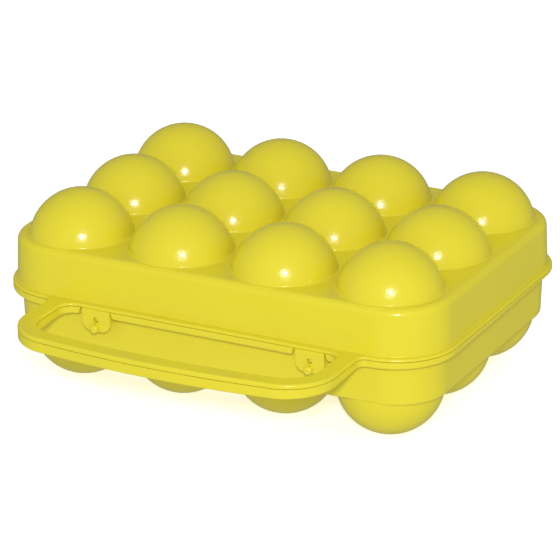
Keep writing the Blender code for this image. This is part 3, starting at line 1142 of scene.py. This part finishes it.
    def hinge_part(self, name: str, outline: list[Point], length: float, x: float) -> bpy.types.Object:
        """Models one knuckle or ear of the hinges with eased ends.

        Args:
            name: The new object's name.
            outline: Its outline in Y and Z about the hinge axis.
            length: Its length along X.
            x: Its middle along X.

        Returns:
            The part in its place.
        """
        item = Drawing.solid(name, outline, length)
        for end in (-length / 2, length / 2):
            Drawing.round_face_edges(item, end, self.fine.hinge_round, self.fine.ease_steps)
        return Bench.placed(item, self.along_x(x))

    def pin(self, name: str, radius: float, length: float, placing: Matrix, eased: float) -> bpy.types.Object:
        """Models a round pin along its own Z with a rounded upper end.

        Args:
            name: The new object's name.
            radius: Its radius.
            length: Its length.
            placing: Where it goes.
            eased: The radius of its rounded end.

        Returns:
            The pin in its place.
        """
        Bench.clear()
        bpy.ops.mesh.primitive_cylinder_add(vertices=self.fine.small_segments, radius=radius, depth=length)
        item = Bench.named(name)
        Drawing.round_face_edges(item, length / 2, eased, self.fine.bevel_steps)
        return Bench.placed(item, placing)


@dataclass
class Lid(Moulding):
    """The domed lid with its half of the carrying loop."""

    def outside(self) -> bpy.types.Object:
        """Models the lid's block: flared foot, drafted wall and rounded deck edge.

        Returns:
            The closed block.
        """
        sizes = self.sizes
        rim_top = sizes.parting_z + sizes.lid_rim_height
        flare = sizes.rim_flare
        foot = sizes.lid_wall_inset - flare
        sections = [(foot, rim_top - sizes.lid_rim_height / 2)]
        for step in range(self.fine.edge_steps + 1):
            angle = math.pi / 2 * step / self.fine.edge_steps
            sections.append((foot + flare * math.sin(angle), rim_top + flare * (1 - math.cos(angle))))
        top = sizes.lid_wall_inset + sizes.wall_draft
        sections += self.edge_sections(top, sizes.deck_z, sizes.deck_round, True)
        return self.slab("lid_shell", sections, True)

    def inside(self) -> bpy.types.Object:
        """Models the hollow under the deck.

        Returns:
            The closed block of the hollow.
        """
        sizes = self.sizes
        wall = sizes.wall
        top = sizes.lid_wall_inset + sizes.wall_draft + wall
        sections = [(sizes.lid_wall_inset + wall, sizes.parting_z - sizes.overrun)]
        sections += self.edge_sections(top, sizes.deck_z - wall, sizes.deck_round - wall, True)
        return self.slab("lid_hollow", sections, True)

    def dome(self) -> bpy.types.Object:
        """Models one dome with the fillet at its foot, about the dome's centre.

        Returns:
            The closed cap.
        """
        sizes = self.sizes
        swell = self.fine.foot_swell
        centre = self.fillet_centre(sizes.dome_radius, sizes.deck_lift, self.fine.dome_fillet)
        swell_centre = (centre[0], sizes.deck_lift - swell + self.fine.weld)
        skirt = self.foot_arc(centre, self.fine.dome_fillet)[:-1]
        skirt += Drawing.arc(swell_centre, swell, 90, 0, self.fine.edge_steps)
        return self.ball_cap("domes", sizes.dome_radius, skirt)

    def dome_hollow(self) -> bpy.types.Object:
        """Models the hollow of one dome with the round at its mouth.

        Returns:
            The closed cap.
        """
        sizes = self.sizes
        inner = sizes.dome_radius - sizes.wall
        centre = self.fillet_centre(sizes.dome_radius, sizes.deck_lift, self.fine.dome_fillet)
        skirt = self.hollow_skirt(centre, self.fine.dome_fillet + sizes.wall)
        return self.ball_cap("dome_hollows", inner, skirt, fine_share=self.fine.hollow_share)

    def rim(self) -> bpy.types.Object:
        """Models the lid's rim with its half of the loop, which thickens towards its front.

        Returns:
            The rim in its place.
        """
        sizes = self.sizes
        low = sizes.parting_z + sizes.parting_gap / 2
        high = sizes.parting_z + sizes.lid_rim_height
        radius = self.fine.lid_edge_round
        rim = self.rim_plate("lid_rim", low, high, high, radius)
        self.cut_root(rim)
        self.slope_loop(rim, high - radius - self.fine.weld, high + self.fine.weld, sizes.loop_rise)
        return rim

    def knuckle_outline(self) -> list[Point]:
        """Gives a clip knuckle and its neck in Y and Z about the hinge axis.

        Returns:
            The outline's points.
        """
        sizes = self.sizes
        bore = sizes.rod_radius + sizes.run_clearance
        mouth = sizes.knuckle_mouth / 2
        root = -sizes.hinge_offset - sizes.overrun
        neck_top = 180 - math.degrees(math.asin(sizes.knuckle_neck / sizes.knuckle_radius))
        neck_low = 180 - math.degrees(math.asin(sizes.parting_gap / sizes.knuckle_radius))
        steps = self.fine.corner_steps
        points = Drawing.arc((0.0, 0.0), sizes.knuckle_radius, mouth - 90, neck_top, steps)
        points += [(root, sizes.knuckle_neck), (root, sizes.parting_gap)]
        points += Drawing.arc((0.0, 0.0), sizes.knuckle_radius, neck_low, 270 - mouth, self.fine.lip_steps)
        return points + Drawing.arc((0.0, 0.0), bore, 270 - mouth, mouth - 90, steps)

    def build(self) -> bpy.types.Object:
        """Models the whole lid.

        Returns:
            The lid's object.
        """
        sizes = self.sizes
        lid = self.outside()
        self.combine_balls(lid, self.dome(), sizes.dome_z, Join.ADD)
        Bench.boolean(lid, self.rim(), Join.ADD)
        for side in Side:
            outline = self.knuckle_outline()
            x = side.value * sizes.hinge_spread
            Bench.boolean(lid, self.hinge_part("knuckle", outline, sizes.knuckle_length, x), Join.ADD)
        Bench.boolean(lid, self.inside(), Join.CUT)
        self.combine_balls(lid, self.dome_hollow(), sizes.dome_z, Join.CUT)
        Bench.finish(lid, self.fine)
        return lid


@dataclass
class Tray(Moulding):
    """The cup tray with its half of the carrying loop, the studs and the hinge ears."""

    def outside(self) -> bpy.types.Object:
        """Models the tray's block: locating lip, drafted wall and rounded floor edge.

        Returns:
            The closed block.
        """
        sizes = self.sizes
        low = sizes.tray_wall_inset + sizes.wall_draft
        lip = sizes.lid_wall_inset + sizes.wall + sizes.lip_clearance
        sections = [(lip, sizes.parting_z + sizes.lip_height)]
        sections.append((sizes.tray_wall_inset, sizes.parting_z - sizes.tray_rim_height))
        sections += self.edge_sections(low, sizes.floor_z, sizes.floor_round, False)
        return self.slab("tray_shell", sections, False)

    def inside(self) -> bpy.types.Object:
        """Models the hollow above the floor.

        Returns:
            The closed block of the hollow.
        """
        sizes = self.sizes
        wall = sizes.wall
        low = sizes.tray_wall_inset + sizes.wall_draft + wall
        sections = [(sizes.tray_wall_inset + wall, sizes.parting_z + sizes.lip_height + sizes.overrun)]
        sections += self.edge_sections(low, sizes.floor_z + wall, sizes.floor_round, False)
        return self.slab("tray_hollow", sections, False)

    def turned_down(self, cap: bpy.types.Object) -> bpy.types.Object:
        """Turns a cap over, so that its crown is below."""
        return Bench.placed(cap, Matrix.Rotation(math.pi, 4, "X"))

    def cup(self) -> bpy.types.Object:
        """Models one cup's outside with the flat that it stands on.

        Returns:
            The closed cap.
        """
        sizes = self.sizes
        cut = sizes.floor_drop - sizes.wall / 2
        radius = math.sqrt(sizes.cup_radius ** 2 - cut ** 2)
        cap = self.ball_cap("cups", sizes.cup_radius, [(radius, cut)], sizes.foot_radius)
        return self.turned_down(cap)

    def cup_hollow(self) -> bpy.types.Object:
        """Models one cup's hollow with the round at its mouth.

        Returns:
            The closed cap.
        """
        sizes = self.sizes
        inner = sizes.cup_radius - sizes.wall
        mouth = self.fine.cup_mouth_round
        centre = self.fillet_centre(inner, sizes.floor_drop - sizes.wall, mouth)
        foot = math.sqrt(inner ** 2 - (sizes.cup_z - sizes.wall) ** 2)
        skirt = self.hollow_skirt(centre, mouth)
        return self.turned_down(self.ball_cap("cup_hollows", inner, skirt, foot, self.fine.hollow_share))

    def rim(self) -> bpy.types.Object:
        """Models the tray's rim with its half of the loop, which thins towards the hinges.

        Returns:
            The rim in its place.
        """
        sizes = self.sizes
        low = sizes.parting_z - sizes.tray_rim_root
        high = sizes.parting_z - sizes.parting_gap / 2
        radius = self.fine.tray_edge_round
        limit = low + radius + self.fine.weld
        rim = self.rim_plate("tray_rim", low, high, low, radius)
        self.cut_root(rim)
        self.slope_loop(rim, low - self.fine.weld, limit, sizes.loop_sink)
        root = self.root_y

        def behind(vertex: bmesh.types.BMVert) -> bool:
            """Says whether a point lies on the body's lower side."""
            return vertex.co.y > root + self.fine.weld and vertex.co.z < limit

        rise = sizes.tray_rim_root - sizes.tray_rim_back
        Bench.slope(rim, behind, (0.0, root, low), rise, sizes.back_y - root)
        return rim

    def ear_outline(self) -> list[Point]:
        """Gives a hinge ear in Y and Z about the hinge axis.

        Returns:
            The outline's points.
        """
        sizes = self.sizes
        root = -sizes.hinge_offset - sizes.tray_wall_inset - sizes.wall / 2
        start = 180 + math.degrees(math.asin(sizes.parting_gap / sizes.ear_radius))
        points = [(root, -sizes.ear_radius), (root, -sizes.parting_gap)]
        return points + Drawing.arc((0.0, 0.0), sizes.ear_radius, start, -90, self.fine.corner_steps)

    def notch(self, side: Side) -> bpy.types.Object:
        """Models the gap in the rim that a latch tongue passes through.

        Args:
            side: Which side of the holder it is for.

        Returns:
            The gap's solid in its place.
        """
        sizes = self.sizes
        width = sizes.latch_width + 2 * sizes.latch_side_gap
        front = sizes.latch_front_y - sizes.overrun
        back = sizes.latch_front_y + sizes.latch_thickness + sizes.parting_gap
        low = sizes.parting_z - sizes.tray_rim_height - sizes.overrun
        half = (back - front) / 2 - self.fine.weld

        def inner_corner(edge: bmesh.types.BMEdge) -> bool:
            """Says whether an edge is an upright one at the back of the gap."""
            behind = all(vertex.co.y > half for vertex in edge.verts)
            return behind and abs(edge.verts[0].co.z - edge.verts[1].co.z) > sizes.wall

        item = Bench.block("notch", (width, back - front, sizes.parting_z - low))
        with Bench.editing(item, Kind.EDGES):
            Bench.pick(item, Kind.VERTS, lambda vertex: vertex.co.z < 0)
            flare = (sizes.latch_width + 2 * sizes.latch_foot_gap) / width
            bpy.ops.transform.resize(value=(flare, 1.0, 1.0), center_override=ORIGIN)
            Bench.pick(item, Kind.EDGES, inner_corner)
            Bench.bevel(sizes.notch_round, self.fine.tongue_steps)
        middle = (side.value * sizes.latch_spread, (front + back) / 2, (low + sizes.parting_z) / 2)
        return Bench.placed(item, Matrix.Translation(middle))

    def stud(self, side: Side) -> bpy.types.Object:
        """Models a stud that a latch tongue snaps over.

        Args:
            side: Which side of the holder it is for.

        Returns:
            The stud in its place.
        """
        sizes = self.sizes
        tip = sizes.latch_front_y + sizes.latch_thickness - sizes.stud_bite
        root = sizes.front_y + sizes.tray_wall_inset + sizes.overrun
        place = Matrix.Translation((side.value * sizes.latch_spread, (tip + root) / 2, sizes.stud_z))
        placing = place @ Matrix.Rotation(math.pi / 2, 4, "X")
        return self.pin("stud", sizes.stud_radius, root - tip, placing, sizes.stud_tip_round)

    def channel(self) -> bpy.types.Object:
        """Models the groove that keeps the loop's lower half to an even wall.

        Returns:
            The groove's solid in its place.
        """
        sizes = self.sizes
        outer = self.loop_run(sizes.wall)
        inner = self.loop_run(sizes.loop_width - sizes.wall)
        end = sizes.front_y - sizes.loop_root_round
        outline = [(outer[0][0], end)] + outer + [(outer[-1][0], end), (inner[-1][0], end)]
        outline += inner[::-1] + [(inner[0][0], end)]
        low = sizes.parting_z - sizes.tray_rim_root + sizes.wall
        item = Drawing.solid("channel", outline, sizes.parting_z - low)
        item = Bench.placed(item, Matrix.Translation((0.0, 0.0, (low + sizes.parting_z) / 2)))
        weld = self.fine.weld
        self.slope_loop(item, low - weld, low + weld, sizes.loop_sink)
        return item

    def hinge(self, tray: bpy.types.Object, side: Side) -> None:
        """Adds one hinge's two ears and the rod between them.

        Args:
            tray: The tray, which they are added to.
            side: Which side of the holder they are for.
        """
        sizes = self.sizes
        reach = sizes.knuckle_length / 2 + sizes.run_clearance + sizes.ear_thickness / 2
        x = side.value * sizes.hinge_spread
        for end in (-reach, reach):
            ear = self.hinge_part("ear", self.ear_outline(), sizes.ear_thickness, x + end)
            Bench.boolean(tray, ear, Join.ADD)
        length = sizes.knuckle_length + 2 * sizes.run_clearance + sizes.ear_thickness
        rod = self.pin("rod", sizes.rod_radius, length, self.along_x(x), self.fine.hinge_round)
        Bench.boolean(tray, rod, Join.ADD)

    def build(self) -> bpy.types.Object:
        """Models the whole tray.

        Returns:
            The tray's object.
        """
        sizes = self.sizes
        tray = self.outside()
        self.combine_balls(tray, self.cup(), sizes.cup_z, Join.ADD)
        Bench.boolean(tray, self.rim(), Join.ADD)
        for side in Side:
            self.hinge(tray, side)
            Bench.boolean(tray, self.notch(side), Join.CUT)
            Bench.boolean(tray, self.stud(side), Join.ADD)
        Bench.boolean(tray, self.inside(), Join.CUT)
        self.combine_balls(tray, self.cup_hollow(), sizes.cup_z, Join.CUT)
        Bench.boolean(tray, self.channel(), Join.CUT)
        Bench.finish(tray, self.fine)
        return tray


@dataclass
class Tongue(Moulding):
    """A flexing latch tongue with its stud hole and finger knob."""

    side: Side = Side.LEFT

    def plate(self) -> bpy.types.Object:
        """Models the tongue's plate from a cube: round lower corners, half-round root, eased outline.

        Returns:
            The plate in its place.
        """
        sizes = self.sizes
        top = sizes.latch_pivot_z + sizes.latch_thickness / 2
        height = top - sizes.latch_tip_z
        root_z = height / 3
        short = sizes.wall / 2
        face_y = sizes.latch_thickness / 2 - self.fine.weld

        def lower_corner(edge: bmesh.types.BMEdge) -> bool:
            """Says whether an edge is one of the two lower corners."""
            low = all(vertex.co.z < 0 for vertex in edge.verts)
            return low and abs(edge.verts[0].co.y - edge.verts[1].co.y) > short

        def along_root(edge: bmesh.types.BMEdge) -> bool:
            """Says whether an edge runs along the root."""
            high = all(vertex.co.z > root_z for vertex in edge.verts)
            return high and abs(edge.verts[0].co.x - edge.verts[1].co.x) > short

        def on_outline(edge: bmesh.types.BMEdge) -> bool:
            """Says whether an edge bounds the front or back face below the root."""
            front = all(vertex.co.y < -face_y for vertex in edge.verts)
            back = all(vertex.co.y > face_y for vertex in edge.verts)
            root = all(vertex.co.z > root_z for vertex in edge.verts)
            return (front or back) and not root

        name = f"latch_tongue_{self.side.name.lower()}"
        item = Bench.block(name, (sizes.latch_width, sizes.latch_thickness, height))
        with Bench.editing(item, Kind.EDGES):
            Bench.pick(item, Kind.EDGES, lower_corner)
            Bench.bevel(sizes.latch_corner, self.fine.root_steps)
            Bench.pick(item, Kind.EDGES, along_root)
            Bench.bevel(face_y, self.fine.edge_steps)
            Bench.pick(item, Kind.EDGES, on_outline)
            Bench.bevel(self.fine.tongue_round, self.fine.tongue_steps)
        middle = (self.side.value * sizes.latch_spread, sizes.latch_y, (top + sizes.latch_tip_z) / 2)
        return Bench.placed(item, Matrix.Translation(middle))

    def build(self) -> bpy.types.Object:
        """Models the whole tongue.

        Returns:
            The tongue's object.
        """
        sizes = self.sizes
        tongue = self.plate()
        x = self.side.value * sizes.latch_spread
        upright = Matrix.Rotation(math.pi / 2, 4, "X")
        hole_place = Matrix.Translation((x, sizes.latch_y, sizes.stud_z)) @ upright
        hole_radius = sizes.stud_radius + sizes.stud_clearance
        length = sizes.latch_thickness + sizes.overrun
        hole = self.pin("hole", hole_radius, length, hole_place, self.fine.weld)
        Bench.boolean(tongue, hole, Join.CUT)
        depth = sizes.knob_reach + sizes.latch_thickness / 2
        knob_y = sizes.latch_y - depth / 2
        knob_place = Matrix.Translation((x, knob_y, sizes.latch_tip_z + sizes.knob_rise)) @ upright
        knob = self.pin("knob", sizes.knob_radius, depth, knob_place, sizes.knob_tip_round)
        Bench.boolean(tongue, knob, Join.ADD)
        Bench.finish(tongue, self.fine)
        return tongue


@dataclass(frozen=True)
class Studio:
    """The pale floor, the light beside the camera and the camera at the photo's angle."""

    aim: Place = (0.00644, 0.00487, 0.04532)
    distance: float = 1.58821
    azimuth: float = 27.6545
    elevation: float = 21.8027
    roll: float = -0.6651
    lens: float = 233.41
    sensor: float = 36.0
    view_reach: float = 32.0
    floor_size: float = 8.0
    floor_shade: float = 0.84
    floor_glow: float = 0.60
    floor_roughness: float = 0.9
    sky_shade: float = 0.56
    ground_shade: float = 0.75
    mirrored_share: float = 0.35
    flash_power: float = 12.4
    flash_size: float = 0.14
    flash_raise: float = 0.13

    def camera_matrix(self) -> Matrix:
        """Gives the camera's place and turn.

        Returns:
            The camera's world matrix.
        """
        turn = math.radians(self.azimuth)
        tilt = math.radians(self.elevation)
        roll = math.radians(self.roll)
        ahead = Vector((-math.sin(turn) * math.cos(tilt), math.cos(turn) * math.cos(tilt), -math.sin(tilt)))
        level = Vector((math.cos(turn), math.sin(turn), 0.0))
        upright = level.cross(ahead)
        right = level * math.cos(roll) + upright * math.sin(roll)
        up = right.cross(ahead)
        place = Vector(self.aim) - ahead * self.distance
        matrix = Matrix((right, up, -ahead)).transposed().to_4x4()
        matrix.translation = place
        return matrix

    def add_camera(self) -> None:
        """Makes the camera and gives it to the scene."""
        data = bpy.data.cameras.new("camera")
        data.lens = self.lens
        data.sensor_width = self.sensor
        data.clip_end = self.view_reach
        camera = bpy.data.objects.new("camera", data)
        bpy.context.scene.collection.objects.link(camera)
        camera.matrix_world = self.camera_matrix()
        bpy.context.scene.camera = camera

    def add_flash(self) -> None:
        """Makes the small round light just above the camera."""
        data = bpy.data.lights.new("flash", "AREA")
        data.shape = "DISK"
        data.size = self.flash_size
        data.energy = self.flash_power
        light = bpy.data.objects.new("flash", data)
        bpy.context.scene.collection.objects.link(light)
        light.matrix_world = self.camera_matrix() @ Matrix.Translation((0.0, self.flash_raise, 0.0))

    def add_world(self) -> None:
        """Makes the soft white surround and the plain colour transform."""
        world = bpy.data.worlds.new("surround")
        graph = Graph(world)
        ahead = graph.node("ShaderNodeTexCoord")["Generated"]
        height = graph.node("ShaderNodeSeparateXYZ", None, {"Vector": ahead})["Z"]
        mirrored = graph.node("ShaderNodeLightPath")["Is Glossy Ray"]
        spread = (self.sky_shade - self.ground_shade) / 2
        middle = (self.sky_shade + self.ground_shade) / 2
        strength = (middle + height * spread) * (1.0 - mirrored * (1.0 - self.mirrored_share))
        graph.shade("ShaderNodeBackground", {"Color": WHITE, "Strength": strength}, "ShaderNodeOutputWorld")
        bpy.context.scene.world = world
        bpy.context.scene.view_settings.view_transform = "Standard"

    def add_floor(self) -> None:
        """Makes the pale floor that the holder stands on."""
        Bench.clear()
        bpy.ops.mesh.primitive_plane_add(size=self.floor_size)
        floor = Bench.named("floor")
        material = bpy.data.materials.new("floor_paper")
        inputs = {
            "Base Color": (self.floor_shade, self.floor_shade, self.floor_shade, 1.0),
            "Roughness": self.floor_roughness,
            "Specular IOR Level": 0.0,
            "Emission Color": WHITE,
            "Emission Strength": self.floor_glow,
        }
        Graph(material).shade("ShaderNodeBsdfPrincipled", inputs)
        floor.data.materials.append(material)
        floor.visible_diffuse = False
        floor.visible_glossy = False
        floor.visible_shadow = False

    def set_up(self) -> None:
        """Makes the camera, the light, the surround and the floor."""
        self.add_camera()
        self.add_flash()
        self.add_world()
        self.add_floor()


def main() -> None:
    """Builds every piece of the holder and its studio."""
    logging.basicConfig(level=logging.INFO, format="%(name)s: %(message)s")
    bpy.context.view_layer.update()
    Studio().set_up()
    plan = [
        (Tray(GlossPlastic("tray_plastic", roughness=0.24)), "base", "base_plastic"),
        (Lid(GlossPlastic("lid_gloss")), "lid", "lid_plastic"),
    ]
    for side in Side:
        body = f"latch_{side.name.lower()}"
        plan.append((Tongue(GlossPlastic(f"{body}_gloss"), side=side), body, "latch_plastic"))
    for moulding, body, slot in plan:
        piece = moulding.build()
        moulding.dress(piece, body, slot)
        triangles = sum(len(polygon.vertices) - 2 for polygon in piece.data.polygons)
        log.info("%s rides on %s with %d triangles", piece.name, body, triangles)


if __name__ == "__main__":
    main()
